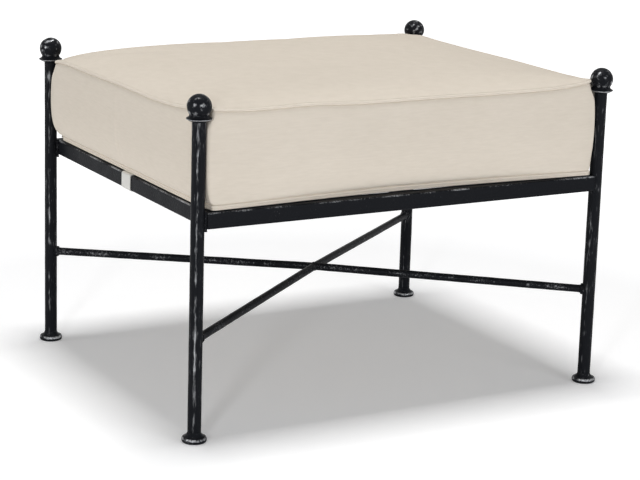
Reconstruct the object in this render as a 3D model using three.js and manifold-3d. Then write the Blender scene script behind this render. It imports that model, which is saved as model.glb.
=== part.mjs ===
// Outdoor ottoman footstool: four round tube legs with ball finials and disc feet, a mitred seat ring
// of square tube with flat slats, crossed round stretchers, and a loose boxed cushion with welted
// seams, a zip and a webbing strap round each end rail.
// Millimetres. +X runs right along the front rail, +Y to the back, +Z up, with the floor at z = 0.

import * as THREE from 'three';
import { mergeVertices } from 'three/addons/utils/BufferGeometryUtils.js';
import Module from 'manifold-3d';

const wasm = await Module();
wasm.setup();

// Whole object
const overallHeight = 457;
const legSpacingAcross = 622;
const legSpacingDeep = 498;
const fitGap = 0.3;
const cutOverrun = 5;

// Leg tubes
const legDiameter = 18;
const legWall = 2;

// Disc feet, turned with a spigot that plugs the leg
const footHeight = 13;
const footSoleRadius = 14.2;
const footDiscRadius = 16.6;
const footDiscThickness = 7;
const footDiscEdge = 2;
const footSpigotLength = 20;
const footWidestShare = 0.48;
const footFlareShares = [0.26, 0.2];

// Ball finials on a threaded stud
const ballRadius = 16;
const studRadius = 3;
const studLength = 13;

// Dished collars between leg and ball
const collarRadius = 17;
const collarLipRadius = 12.5;
const collarHeight = 8.8;
const collarTipRise = 4;
const collarTipEdge = 0.8;
const collarSpigotLength = 15;
const collarUnderShares = [0.33, 0.1];
const collarUpperShares = [0.25, 0.18];
const spigotChamfer = 1;

// Seat ring of square tube
const seatHeight = 305.5;
const railSize = 22;
const railWall = 2;
const railCornerRadius = 2.5;
const railProudOfLeg = 1.3;

// Weld fillets between the end rails and the legs
const railWeldDepth = 4;
const railWeldToe = 0.4;
const railWeldRoot = 1;
const railWeldDrop = 4;
const railWeldRise = 2;
const railWeldSideShare = 0.6;
const railWeldThroatShare = 0.33;

// Flat slats across the seat ring
const slatCount = 5;
const slatPitch = 100;
const slatWidth = 30;
const slatThickness = 4;
const slatEdgeRadius = 1;

// Crossed stretchers of round bar
const stretcherDiameter = 11;
const stretcherHeight = 137;
const stretcherCrossingRise = 5;
const legWeldFlare = 3;
const legWeldLength = 6;
const crossingWeldFlare = 1.8;
const crossingWeldLength = 5;
const crossingWeldStartShare = 0.45;
const weldWaistShares = [0.18, 0.25];

// Cushion plan: where the seams run past the leg axes, and how the sides bow, belly and tuck
const seamPastLegAcross = 0;
const seamPastLegDeep = 2;
const sideBelly = 8;
const frontBelly = 7;
const sideTuck = 13;
const frontSpread = 5;
const sideBow = 6;
const frontBow = 6;
const frontHollow = 8;
const bellyPower = 0.7;
const tuckPower = 12;
const bowPower = 0.35;
const bowFlatnessPower = 6;
const notchClearance = 0.5;
const notchFacetShare = 0.98;

// Cushion heights and skins
const boxingHeight = 120;
const bottomSeamRise = 5.2;
const cornerLift = 4.7;
const crownRise = 20.5;
const crownPower = 5;
const cornerLiftPower = 4;
const cornerBlendPower = 6;
const plainCornerPower = 12;
const clothThickness = 1.5;
const bottomCurlWidth = 14;
const bottomCurlPower = 1.3;
const boxingLevelShares = [0.1, 0.25, 0.5, 0.75, 0.92];
const crownRingShares = [0.972, 0.9, 0.76, 0.52];
const bottomCurlShares = [0, 0.33, 0.66, 1];

// Welts sewn into a groove along both seams
const weltRadius = 2.2;
const weltGroove = 2.5;

// Webbing straps round the end rails
const strapWidth = 28;
const strapThickness = 1.2;
const strapForward = 5;
const strapSewInset = 3.5;
const strapTailLength = 32;
const strapBendRadius = 1;

// Zip along the back of the cushion
const zipLength = 440;
const zipTapeWidth = 24;
const zipTapeThickness = 1;
const zipTapeRecess = 0.4;
const zipTeethWidth = 6;
const zipTeethHeight = 1.2;
const zipRiseShare = 0.62;
const zipSliderLength = 14;
const zipSliderWall = 1.4;
const zipSliderWidth = 10;
const zipEndStop = 3;
const zipPullLength = 22;
const zipPullWidth = 7;
const zipPullThickness = 1;
const zipPostRadius = 1.2;
const zipPostHeight = 1.7;

// Facet counts
const roundSides = 18;
const barSides = 12;
const cutterSides = 24;
const weltSides = 8;
const curveSteps = 2;
const ballSteps = 5;
const notchSteps = 3;
const longSideSteps = 7;
const shortSideSteps = 6;

// Places that several pieces share
const legRadius = legDiameter / 2;
const legX = legSpacingAcross / 2;
const legY = legSpacingDeep / 2;
const spigotRadius = legRadius - legWall - fitGap;
const ballCentreHeight = overallHeight - ballRadius;
const ballSeatRadius = ballRadius + fitGap;
const collarHoleRadius = studRadius + fitGap;
const collarLipHeight = ballCentreHeight - Math.sqrt(ballSeatRadius ** 2 - collarLipRadius ** 2);
const collarUnderside = collarLipHeight - collarHeight;
const railBottom = seatHeight - railSize;
const endRailReach = legX - legRadius - fitGap;
const frontRailReach = legY + legRadius + railProudOfLeg;
const barRadius = stretcherDiameter / 2;
const weltCentre = (weltRadius + fitGap) * Math.SQRT2 - weltGroove;
const weltProjection = weltCentre + weltRadius;
const widestFinial = Math.max(collarRadius, ballRadius);
const notchRadius = (widestFinial + notchClearance) / notchFacetShare + weltProjection;
const cushionBase = seatHeight + fitGap;
const bottomSeam = cushionBase + bottomSeamRise;
const topSeam = bottomSeam + boxingHeight;

const corners = [
  { name: 'front_left', x: -legX, y: -legY },
  { name: 'front_right', x: legX, y: -legY },
  { name: 'back_left', x: -legX, y: legY },
  { name: 'back_right', x: legX, y: legY },
];

const blackMetal = { color: 0x1d1e21, roughness: 0.5, metalness: 0.8 };
const canvas = { color: 0xd8cfc0, roughness: 0.95, metalness: 0 };
const webbing = { color: 0xe4ded2, roughness: 0.9, metalness: 0 };
const foam = { color: 0xeee4c4, roughness: 1, metalness: 0 };
const zipCloth = { color: 0xcfc6b6, roughness: 0.85, metalness: 0 };
const zipMetal = { color: 0xb9b4a8, roughness: 0.4, metalness: 0.7 };

const footstool = new THREE.Group();

function addPiece(name, geometry, finish, x = 0, y = 0, turn = 0) {
  const mesh = new THREE.Mesh(geometry, new THREE.MeshStandardMaterial(finish));
  mesh.name = name;
  mesh.position.set(x, y, 0);
  mesh.rotation.z = turn;
  footstool.add(mesh);
}

function mix(from, to, share) {
  return from + (to - from) * share;
}

// A closed three.js geometry as a solid that can be joined and cut.
function solidOf(geometry) {
  const bare = geometry.clone();
  bare.deleteAttribute('normal');
  bare.deleteAttribute('uv');
  const merged = mergeVertices(bare);
  const mesh = new wasm.Mesh({
    numProp: 3,
    vertProperties: new Float32Array(merged.attributes.position.array),
    triVerts: new Uint32Array(merged.index.array),
  });
  return new wasm.Manifold(mesh);
}

function geometryOf(solid) {
  const mesh = solid.getMesh();
  const geometry = new THREE.BufferGeometry();
  geometry.setAttribute('position', new THREE.BufferAttribute(mesh.vertProperties, 3));
  geometry.setIndex(new THREE.BufferAttribute(mesh.triVerts, 1));
  geometry.computeVertexNormals();
  return geometry;
}

// A profile of (radius, height) points turned about the upright axis.
function revolve(points, sides) {
  return new THREE.LatheGeometry(points, sides).rotateX(Math.PI / 2);
}

// An upright round cutter at a place in plan, tall enough for any height of the frame.
function uprightCutter(radius, x, y) {
  const geometry = new THREE.CylinderGeometry(radius, radius, overallHeight, cutterSides);
  geometry.rotateX(Math.PI / 2);
  geometry.translate(x, y, overallHeight / 2);
  return solidOf(geometry);
}

function roundedRectangle(width, height, radius) {
  const shape = new THREE.Shape();
  const right = width / 2;
  const top = height / 2;
  shape.moveTo(-right + radius, -top);
  shape.lineTo(right - radius, -top);
  shape.absarc(right - radius, -top + radius, radius, -Math.PI / 2, 0);
  shape.lineTo(right, top - radius);
  shape.absarc(right - radius, top - radius, radius, 0, Math.PI / 2);
  shape.lineTo(-right + radius, top);
  shape.absarc(-right + radius, top - radius, radius, Math.PI / 2, Math.PI);
  shape.lineTo(-right, -top + radius);
  shape.absarc(-right + radius, -top + radius, radius, Math.PI, Math.PI * 1.5);
  return shape;
}

// Legs, feet, collars and balls

function legTube() {
  const bottom = footHeight + fitGap;
  const top = collarUnderside - fitGap;
  const bore = legRadius - legWall;
  const profile = [
    new THREE.Vector2(bore, bottom),
    new THREE.Vector2(legRadius, bottom),
    new THREE.Vector2(legRadius, top),
    new THREE.Vector2(bore, top),
    new THREE.Vector2(bore, bottom),
  ];
  return revolve(profile, roundSides);
}

// A round-edged disc that sweeps up in a hollow flare to the leg's own width.
function discFoot() {
  const flareEdge = footDiscRadius - footDiscEdge;
  const waistRadius = mix(legRadius, flareEdge, footFlareShares[0]);
  const waistHeight = mix(footDiscThickness, footHeight, footFlareShares[1]);
  const spigotTop = footHeight + footSpigotLength;
  const profile = new THREE.Path();
  profile.moveTo(0, 0);
  profile.lineTo(footSoleRadius, 0);
  profile.quadraticCurveTo(footDiscRadius, 0, footDiscRadius, footDiscThickness * footWidestShare);
  profile.quadraticCurveTo(footDiscRadius, footDiscThickness, flareEdge, footDiscThickness);
  profile.quadraticCurveTo(waistRadius, waistHeight, legRadius, footHeight);
  profile.lineTo(spigotRadius, footHeight);
  profile.lineTo(spigotRadius, spigotTop - spigotChamfer);
  profile.lineTo(spigotRadius - spigotChamfer, spigotTop);
  profile.lineTo(0, spigotTop);
  return revolve(profile.getPoints(curveSteps + 1), roundSides);
}

// A thin flange with a hollow upper side that rises to the lip of the ball's seat.
function dishedCollar() {
  const tipHeight = collarUnderside + collarTipRise;
  const tipInner = collarRadius - collarTipEdge;
  const tipUnder = tipHeight - collarTipEdge;
  const tipUpper = tipHeight + collarTipEdge;
  const underRadius = mix(legRadius, tipInner, collarUnderShares[0]);
  const underHeight = mix(collarUnderside, tipUnder, collarUnderShares[1]);
  const upperRadius = mix(collarLipRadius, tipInner, collarUpperShares[0]);
  const upperHeight = mix(tipUpper, collarLipHeight, collarUpperShares[1]);
  const spigotBottom = collarUnderside - collarSpigotLength;
  const lipAngle = -Math.acos(collarLipRadius / ballSeatRadius);
  const holeAngle = -Math.acos(collarHoleRadius / ballSeatRadius);
  const profile = new THREE.Path();
  profile.moveTo(collarHoleRadius, spigotBottom);
  profile.lineTo(spigotRadius - spigotChamfer, spigotBottom);
  profile.lineTo(spigotRadius, spigotBottom + spigotChamfer);
  profile.lineTo(spigotRadius, collarUnderside);
  profile.lineTo(legRadius, collarUnderside);
  profile.quadraticCurveTo(underRadius, underHeight, tipInner, tipUnder);
  profile.lineTo(collarRadius, tipHeight);
  profile.lineTo(tipInner, tipUpper);
  profile.quadraticCurveTo(upperRadius, upperHeight, collarLipRadius, collarLipHeight);
  profile.absarc(0, ballCentreHeight, ballSeatRadius, lipAngle, holeAngle, true);
  profile.lineTo(collarHoleRadius, spigotBottom);
  return revolve(profile.getPoints(curveSteps), roundSides);
}

function ballFinial() {
  const studAngle = -Math.acos(studRadius / ballRadius);
  const studTop = ballCentreHeight + ballRadius * Math.sin(studAngle);
  const profile = new THREE.Path();
  profile.moveTo(0, studTop - studLength);
  profile.lineTo(studRadius, studTop - studLength);
  profile.lineTo(studRadius, studTop);
  profile.absarc(0, ballCentreHeight, ballRadius, studAngle, Math.PI / 2, false);
  return revolve(profile.getPoints(ballSteps), roundSides);
}

for (const corner of corners) {
  addPiece(`leg_${corner.name}`, legTube(), blackMetal, corner.x, corner.y);
  addPiece(`foot_${corner.name}`, discFoot(), blackMetal, corner.x, corner.y);
  addPiece(`collar_${corner.name}`, dishedCollar(), blackMetal, corner.x, corner.y);
  addPiece(`ball_${corner.name}`, ballFinial(), blackMetal, corner.x, corner.y);
}

// Seat ring

// A square tube with both ends mitred, running along x with its outer face towards -y.
function mitredRail(reach, halfLength) {
  const bore = railSize - 2 * railWall;
  const section = roundedRectangle(railSize, railSize, railCornerRadius);
  section.holes.push(roundedRectangle(bore, bore, railCornerRadius - railWall));
  const options = { depth: 2 * halfLength, bevelEnabled: false, curveSegments: 1 };
  const geometry = new THREE.ExtrudeGeometry(section, options);
  geometry.translate(railSize / 2, railSize / 2, -halfLength);
  const mitreSetback = fitGap * Math.SQRT1_2;
  const place = geometry.attributes.position;
  for (let i = 0; i < place.count; i += 1) {
    const end = Math.sign(place.getZ(i));
    place.setZ(i, end * (halfLength - place.getX(i) - mitreSetback));
  }
  const turned = new THREE.Matrix4().makeBasis(
    new THREE.Vector3(0, 1, 0),
    new THREE.Vector3(0, 0, 1),
    new THREE.Vector3(1, 0, 0),
  );
  geometry.applyMatrix4(turned);
  return geometry.translate(0, -reach, railBottom);
}

// One weld fillet beside a leg: its plan fills the corner between the rail's face and the tube.
function railWeld(side, legPlace) {
  const clearRadius = legRadius + fitGap;
  const sideReach = legRadius + railProudOfLeg * railWeldSideShare;
  const throat = clearRadius * railWeldThroatShare;
  const toe = Math.sqrt(clearRadius ** 2 - (clearRadius - railWeldDepth) ** 2);
  const toeAngle = Math.atan2(railWeldDepth - clearRadius, toe);
  const throatAngle = -Math.acos(throat / clearRadius);
  const plan = new THREE.Shape();
  plan.moveTo(throat, -railWeldRoot);
  plan.lineTo(sideReach - railWeldRoot, -railWeldRoot);
  plan.lineTo(sideReach, 0);
  plan.lineTo(toe + railWeldToe, railWeldDepth);
  plan.absarc(0, clearRadius, clearRadius, toeAngle, throatAngle, true);
  const height = railWeldDrop + railSize + railWeldRise;
  const geometry = new THREE.ExtrudeGeometry(plan, { depth: height, bevelEnabled: false, curveSegments: 2 });
  if (side < 0) {
    geometry.rotateZ(Math.PI);
  } else {
    geometry.rotateX(Math.PI);
    geometry.translate(0, 0, height);
  }
  return geometry.translate(legPlace, -endRailReach, railBottom - railWeldDrop);
}

// The end rails carry the weld fillets that join them to the legs.
function endRail() {
  let rail = solidOf(mitredRail(endRailReach, frontRailReach));
  for (const legPlace of [-legY, legY]) {
    for (const side of [-1, 1]) {
      rail = rail.add(solidOf(railWeld(side, legPlace)));
    }
  }
  return geometryOf(rail);
}

addPiece('seat_rail_front', mitredRail(frontRailReach, endRailReach), blackMetal);
addPiece('seat_rail_back', mitredRail(frontRailReach, endRailReach), blackMetal, 0, 0, Math.PI);
addPiece('seat_rail_right', endRail(), blackMetal, 0, 0, Math.PI / 2);
addPiece('seat_rail_left', endRail(), blackMetal, 0, 0, -Math.PI / 2);

function seatSlat() {
  const halfLength = frontRailReach - railSize - fitGap;
  const section = roundedRectangle(slatWidth, slatThickness, slatEdgeRadius);
  const options = { depth: 2 * halfLength, bevelEnabled: false, curveSegments: 1 };
  const geometry = new THREE.ExtrudeGeometry(section, options);
  geometry.translate(0, 0, -halfLength);
  geometry.rotateX(Math.PI / 2);
  return geometry.translate(0, 0, seatHeight - slatThickness / 2);
}

for (let i = 0; i < slatCount; i += 1) {
  const x = (i - (slatCount - 1) / 2) * slatPitch;
  addPiece(`seat_slat_${i + 1}`, seatSlat(), blackMetal, x);
}

// Stretchers

function legPoint(corner) {
  return new THREE.Vector3(corner.x, corner.y, stretcherHeight);
}

const crossing = new THREE.Vector3(0, 0, stretcherHeight + stretcherCrossingRise);

// A round bar through the given points.
function roundBar(points, radius) {
  const route = new THREE.CurvePath();
  for (let i = 1; i < points.length; i += 1) {
    route.add(new THREE.LineCurve3(points[i - 1], points[i]));
  }
  const ring = [];
  for (let i = 0; i < barSides; i += 1) {
    const angle = (i / barSides) * 2 * Math.PI;
    ring.push(new THREE.Vector2(radius * Math.cos(angle), radius * Math.sin(angle)));
  }
  const options = { steps: points.length - 1, extrudePath: route, bevelEnabled: false };
  return solidOf(new THREE.ExtrudeGeometry(new THREE.Shape(ring), options));
}

// A weld that thickens the bar towards a joint and fades out along it.
function weldCone(from, towards, start, full, length, flare) {
  const end = full + length;
  const waistRadius = mix(barRadius, barRadius + flare, weldWaistShares[0]);
  const waistPlace = mix(full, end, weldWaistShares[1]);
  const profile = new THREE.Path();
  profile.moveTo(0, start);
  profile.lineTo(barRadius + flare, start);
  profile.lineTo(barRadius + flare, full);
  profile.quadraticCurveTo(waistRadius, waistPlace, barRadius, end);
  profile.lineTo(0, end);
  const geometry = revolve(profile.getPoints(curveSteps), barSides);
  const direction = towards.clone().sub(from).normalize();
  const turn = new THREE.Quaternion().setFromUnitVectors(new THREE.Vector3(0, 0, 1), direction);
  geometry.applyQuaternion(turn);
  return solidOf(geometry.translate(from.x, from.y, from.z));
}

function legWeld(corner) {
  return weldCone(legPoint(corner), crossing, 0, legRadius, legWeldLength, legWeldFlare);
}

function legCutter(corner) {
  return uprightCutter(legRadius + fitGap, corner.x, corner.y);
}

// The long stretcher runs in one piece from the front-left leg to the back-right leg.
function longStretcher(radius) {
  const [frontLeft, , , backRight] = corners;
  return roundBar([legPoint(frontLeft), crossing, legPoint(backRight)], radius);
}

function weldedLongStretcher() {
  const [frontLeft, , , backRight] = corners;
  let bar = longStretcher(barRadius).add(legWeld(frontLeft)).add(legWeld(backRight));
  bar = bar.subtract(legCutter(frontLeft)).subtract(legCutter(backRight));
  return geometryOf(bar);
}

// Each half stretcher is coped round its leg and round the long one.
function halfStretcher(corner) {
  const start = barRadius * crossingWeldStartShare;
  const leg = legPoint(corner);
  let bar = roundBar([leg, crossing], barRadius).add(legWeld(corner));
  bar = bar.add(weldCone(crossing, leg, start, barRadius, crossingWeldLength, crossingWeldFlare));
  bar = bar.subtract(legCutter(corner));
  return geometryOf(bar.subtract(longStretcher(barRadius + fitGap)));
}

addPiece('stretcher_long', weldedLongStretcher(), blackMetal);
addPiece('stretcher_half_front', halfStretcher(corners[1]), blackMetal);
addPiece('stretcher_half_back', halfStretcher(corners[2]), blackMetal);

// Cushion form

// Half sizes of the plan at a share of the way from the bottom seam to the top seam: fullest at
// mid-height, tucked in above the end rails, and hollow along the front under the boxing.
function planAt(rise) {
  const belly = Math.sin(Math.PI * rise) ** bellyPower;
  const tuck = (1 - rise) ** tuckPower;
  const bow = rise ** bowPower;
  return {
    halfAcross: legX + seamPastLegAcross + sideBelly * belly - sideTuck * tuck,
    halfDeep: legY + seamPastLegDeep + frontBelly * belly + frontSpread * tuck,
    bowAcross: sideBow * bow,
    bowDeep: mix(-frontHollow, frontBow, bow),
  };
}

// One side of the plan, from the middle of one corner notch to the middle of the next. The side runs
// along +x at -out, and each point keeps how near it is to a corner, from 0 to 1.
function sideRun(along, out, legAlong, legOut, radius, bow, steps) {
  const endBack = Math.sqrt(radius ** 2 - (out - legOut) ** 2);
  const neighbourBack = Math.sqrt(radius ** 2 - (along - legAlong) ** 2);
  const endAngle = Math.atan2(legOut - out, endBack);
  const neighbourAngle = Math.atan2(neighbourBack, legAlong - along);
  const middleAngle = (endAngle + neighbourAngle) / 2;
  const notch = [];
  for (let i = 0; i <= notchSteps; i += 1) {
    const angle = mix(middleAngle, endAngle, i / notchSteps);
    const x = -legAlong + radius * Math.cos(angle);
    const y = -legOut + radius * Math.sin(angle);
    notch.push({ x, y, corner: 1 });
  }
  const run = [...notch];
  for (let i = 1; i < steps; i += 1) {
    const s = mix(-1, 1, i / steps);
    const y = -out - bow * (1 - Math.abs(s) ** bowFlatnessPower);
    run.push({ x: s * (legAlong - endBack), y, corner: Math.abs(s) ** cornerLiftPower });
  }
  for (const point of notch.reverse()) {
    run.push({ x: -point.x, y: point.y, corner: point.corner });
  }
  return run;
}

// The four sides of the plan in order front, right, back, left, each turned to its place.
function planSides(rise, inset) {
  const plan = planAt(rise);
  const across = plan.halfAcross - inset;
  const deep = plan.halfDeep - inset;
  const radius = notchRadius + inset;
  const front = sideRun(across, deep, legX, legY, radius, plan.bowDeep, longSideSteps);
  const end = sideRun(deep, across, legY, legX, radius, plan.bowAcross, shortSideSteps);
  return [
    front,
    end.map((point) => ({ x: -point.y, y: point.x, corner: point.corner })),
    front.map((point) => ({ x: -point.x, y: -point.y, corner: point.corner })),
    end.map((point) => ({ x: point.y, y: -point.x, corner: point.corner })),
  ];
}

// A level of the boxing is a rise between the seams, an inset from the outer face and a lift.
function atLevel(point, level) {
  const seam = topSeam + cornerLift * point.corner;
  return new THREE.Vector3(point.x, point.y, mix(bottomSeam, seam, level.rise) + level.lift);
}

function sideAtLevel(side, level) {
  return planSides(level.rise, level.inset)[side].map((point) => atLevel(point, level));
}

function ringAtLevel(level) {
  const sides = planSides(level.rise, level.inset);
  return sides.flatMap((side) => side.slice(0, -1)).map((point) => atLevel(point, level));
}

// A ring drawn in towards the centre by a share, where the corner notches fade into plain corners.
function drawnIn(ring, share) {
  return ring.map((point) => {
    const radius = Math.hypot(point.x, point.y);
    const halfAcross = legX + seamPastLegAcross;
    const halfDeep = legY + seamPastLegDeep;
    const shareAcross = Math.abs(point.x / radius / halfAcross) ** plainCornerPower;
    const shareDeep = Math.abs(point.y / radius / halfDeep) ** plainCornerPower;
    const plainRadius = (shareAcross + shareDeep) ** (-1 / plainCornerPower);
    const blended = mix(plainRadius, radius, share ** cornerBlendPower);
    const scale = (share * blended) / radius;
    return new THREE.Vector3(point.x * scale, point.y * scale, point.z);
  });
}

// A four-sided patch split along its shorter diagonal, so that skins that follow each other at a
// steady distance also fold alike. The corners go round it, and the last two lie above the others.
function addPatch(points, triangles, first, second, third, fourth) {
  if (points[first].distanceTo(points[third]) < points[second].distanceTo(points[fourth])) {
    triangles.push(first, second, third, first, third, fourth);
  } else {
    triangles.push(first, second, fourth, second, third, fourth);
  }
}

// Skin through rings of equal count, each one wound anticlockwise seen from above. Open ends are
// closed on a middle point, and a closed skin joins its last ring to its first.
function loft(rings, closed) {
  const count = rings[0].length;
  const points = rings.flat();
  const triangles = [];
  const bands = closed ? rings.length : rings.length - 1;
  for (let band = 0; band < bands; band += 1) {
    const lower = band * count;
    const upper = ((band + 1) % rings.length) * count;
    for (let i = 0; i < count; i += 1) {
      const next = (i + 1) % count;
      addPatch(points, triangles, lower + i, lower + next, upper + next, upper + i);
    }
  }
  if (!closed) {
    const last = (rings.length - 1) * count;
    points.push(new THREE.Vector3(0, 0, rings[0][0].z));
    points.push(new THREE.Vector3(0, 0, rings[rings.length - 1][0].z));
    for (let i = 0; i < count; i += 1) {
      const next = (i + 1) % count;
      triangles.push(points.length - 2, next, i);
      triangles.push(points.length - 1, last + i, last + next);
    }
  }
  const geometry = new THREE.BufferGeometry().setFromPoints(points);
  geometry.setIndex(triangles);
  geometry.computeVertexNormals();
  return geometry;
}

const seamHalfGap = fitGap / 2;
const clothSlant = clothThickness * Math.SQRT2;
const allowanceInset = weltGroove + clothSlant - seamHalfGap;
const bendLift = weltGroove - clothThickness + clothSlant;

// Crown height over the top seam's rim at a share of the way out from the centre.
function crownAt(share) {
  return crownRise * (1 - share ** crownPower);
}

// Rings of the crown from the rim inwards, over a rim with the given inset and lift.
function crownRings(inset, lift) {
  const rim = ringAtLevel({ rise: 1, inset, lift });
  return crownRingShares.map((share) => {
    const ring = drawnIn(rim, share);
    for (const point of ring) {
      point.z = mix(topSeam + lift, point.z, share ** cornerLiftPower) + crownAt(share);
    }
    return ring;
  });
}

function topPanel() {
  const under = crownRings(clothThickness, weltGroove - clothThickness).reverse();
  const upper = crownRings(0, weltGroove);
  const bendInset = 2 * clothThickness;
  const rim = [
    { rise: 1, inset: bendInset, lift: weltGroove - bendInset + clothSlant },
    { rise: 1, inset: allowanceInset, lift: seamHalfGap },
    { rise: 1, inset: weltGroove - seamHalfGap, lift: seamHalfGap },
    { rise: 1, inset: 0, lift: weltGroove },
  ];
  return loft([...under, ...rim.map(ringAtLevel), ...upper], false);
}

// The bottom panel lies flat on the seat and curls up to its seam.
function curlRings(inset, lift) {
  const rimHeight = bottomSeamRise - weltGroove;
  return bottomCurlShares.map((share) => {
    const height = rimHeight * (1 - share) ** bottomCurlPower;
    const level = { rise: 0, inset: inset + bottomCurlWidth * share, lift: 0 };
    const ring = ringAtLevel(level);
    for (const point of ring) {
      point.z = cushionBase + height + lift;
    }
    return ring;
  });
}

function bottomPanel() {
  const under = curlRings(0, 0).reverse();
  const upper = curlRings(2 * clothThickness, clothThickness);
  upper.shift();
  const rim = [
    { rise: 0, inset: weltGroove - seamHalfGap, lift: -seamHalfGap },
    { rise: 0, inset: allowanceInset, lift: -seamHalfGap },
  ];
  return loft([...under, ...rim.map(ringAtLevel), ...upper], false);
}

function faceLevels(inset, edgeInset, bend) {
  return [
    { rise: 0, inset: edgeInset, lift: seamHalfGap },
    { rise: 0, inset, lift: bend },
    ...boxingLevelShares.map((rise) => ({ rise, inset, lift: 0 })),
    { rise: 1, inset, lift: -bend },
    { rise: 1, inset: edgeInset, lift: -seamHalfGap },
  ];
}

const outerLevels = faceLevels(0, weltGroove - seamHalfGap, weltGroove);
const innerLevels = faceLevels(clothThickness, allowanceInset, bendLift);
const foamLevels = faceLevels(clothThickness + 2 * fitGap, allowanceInset + 2 * fitGap, bendLift);

// Shortens a run at both ends by half a gap, so that two strips meet without touching.
function trimmedRun(run) {
  const trimmed = run.map((point) => point.clone());
  const last = run.length - 1;
  for (const [end, next] of [[0, 1], [last, last - 1]]) {
    const share = seamHalfGap / run[end].distanceTo(run[next]);
    trimmed[end].lerp(run[next], share);
  }
  return trimmed;
}

// One strip of boxing: the skin between two seams, turned in at both edges.
function boxingStrip(side) {
  const outer = outerLevels.map((level) => trimmedRun(sideAtLevel(side, level)));
  const inner = innerLevels.map((level) => trimmedRun(sideAtLevel(side, level)));
  const loop = [...outer, ...inner.reverse()];
  const levels = outer.length;
  const count = outer[0].length;
  const points = loop.flat();
  const triangles = [];
  for (let band = 0; band < loop.length; band += 1) {
    const lower = band * count;
    const upper = ((band + 1) % loop.length) * count;
    for (let i = 0; i < count - 1; i += 1) {
      addPatch(points, triangles, lower + i, lower + i + 1, upper + i + 1, upper + i);
    }
  }
  for (let band = 0; band < levels - 1; band += 1) {
    const face = band * count;
    const above = face + count;
    const back = (loop.length - 1 - band) * count;
    const backAbove = back - count;
    const end = count - 1;
    triangles.push(face, above, backAbove);
    triangles.push(face, backAbove, back);
    triangles.push(face + end, backAbove + end, above + end);
    triangles.push(face + end, back + end, backAbove + end);
  }
  const geometry = new THREE.BufferGeometry().setFromPoints(points);
  geometry.setIndex(triangles);
  geometry.computeVertexNormals();
  return geometry;
}

function welt(rise) {
  const rings = [];
  for (let i = 0; i < weltSides; i += 1) {
    const angle = (i / weltSides) * 2 * Math.PI;
    const inset = -weltCentre - weltRadius * Math.cos(angle);
    rings.push(ringAtLevel({ rise, inset, lift: weltRadius * Math.sin(angle) }));
  }
  return loft(rings, true);
}

// The foam block fills the cover with a little ease all round.
function foamCore() {
  const foamInset = clothThickness + 2 * fitGap;
  const bottom = curlRings(allowanceInset + 2 * fitGap, clothThickness + fitGap).reverse();
  bottom.pop();
  const top = crownRings(foamInset, weltGroove - clothThickness - 2 * fitGap);
  return loft([...bottom, ...foamLevels.map(ringAtLevel), ...top], false);
}

// Zip places, taken from the back face of the boxing

const zipHeight = mix(bottomSeam, topSeam, zipRiseShare);
const zipPlan = planAt(zipRiseShare);
const zipTapeFace = zipPlan.halfDeep + zipPlan.bowDeep - zipTapeRecess;
const zipRideFace = zipTapeFace + zipTeethHeight + fitGap;
const zipSliderFace = zipRideFace + zipSliderWall;
const zipPullFace = zipSliderFace + fitGap;
const zipSliderStart = zipLength / 2 - zipEndStop - zipSliderLength / 2;

// Profiles of the zip are drawn as (height from the zip's middle, distance out from a face), and
// this lays them along x on the back of the cushion.
function alongBack(shape, length, face) {
  const geometry = new THREE.ExtrudeGeometry(shape, { depth: length, bevelEnabled: false });
  geometry.translate(0, 0, -length / 2);
  const turned = new THREE.Matrix4().makeBasis(
    new THREE.Vector3(0, 0, 1),
    new THREE.Vector3(0, 1, 0),
    new THREE.Vector3(-1, 0, 0),
  );
  geometry.applyMatrix4(turned);
  return geometry.translate(0, face, zipHeight);
}

// The back strip has a window for the zip.
function slottedBackStrip() {
  const depth = 2 * (clothThickness + cutOverrun);
  const geometry = new THREE.BoxGeometry(zipLength + 2 * fitGap, depth, zipTapeWidth + 2 * fitGap);
  geometry.translate(0, zipTapeFace, zipHeight);
  return geometryOf(solidOf(boxingStrip(2)).subtract(solidOf(geometry)));
}

function zipTape() {
  const edge = zipTapeWidth / 2;
  const teeth = zipTeethWidth / 2;
  const profile = new THREE.Shape();
  profile.moveTo(-edge, -zipTapeThickness);
  profile.lineTo(edge, -zipTapeThickness);
  profile.lineTo(edge, 0);
  profile.lineTo(teeth, 0);
  profile.lineTo(teeth, zipTeethHeight);
  profile.lineTo(-teeth, zipTeethHeight);
  profile.lineTo(-teeth, 0);
  profile.lineTo(-edge, 0);
  return alongBack(profile, zipLength, zipTapeFace);
}

function alongBackPost(radius, height, face) {
  const geometry = new THREE.CylinderGeometry(radius, radius, height, barSides);
  return solidOf(geometry.translate(0, face + height / 2, zipHeight));
}

// The slider is a channel that straddles the teeth, with a post for its pull.
function zipSlider() {
  const edge = zipSliderWidth / 2;
  const lip = zipTeethWidth / 2 + fitGap;
  const profile = new THREE.Shape();
  profile.moveTo(-edge, -zipTeethHeight);
  profile.lineTo(-lip, -zipTeethHeight);
  profile.lineTo(-lip, 0);
  profile.lineTo(lip, 0);
  profile.lineTo(lip, -zipTeethHeight);
  profile.lineTo(edge, -zipTeethHeight);
  profile.lineTo(edge, zipSliderWall);
  profile.lineTo(-edge, zipSliderWall);
  const body = solidOf(alongBack(profile, zipSliderLength, zipRideFace));
  const post = alongBackPost(zipPostRadius, zipSliderWall / 2 + zipPostHeight, zipSliderFace - zipSliderWall / 2);
  return geometryOf(body.add(post));
}

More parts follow.
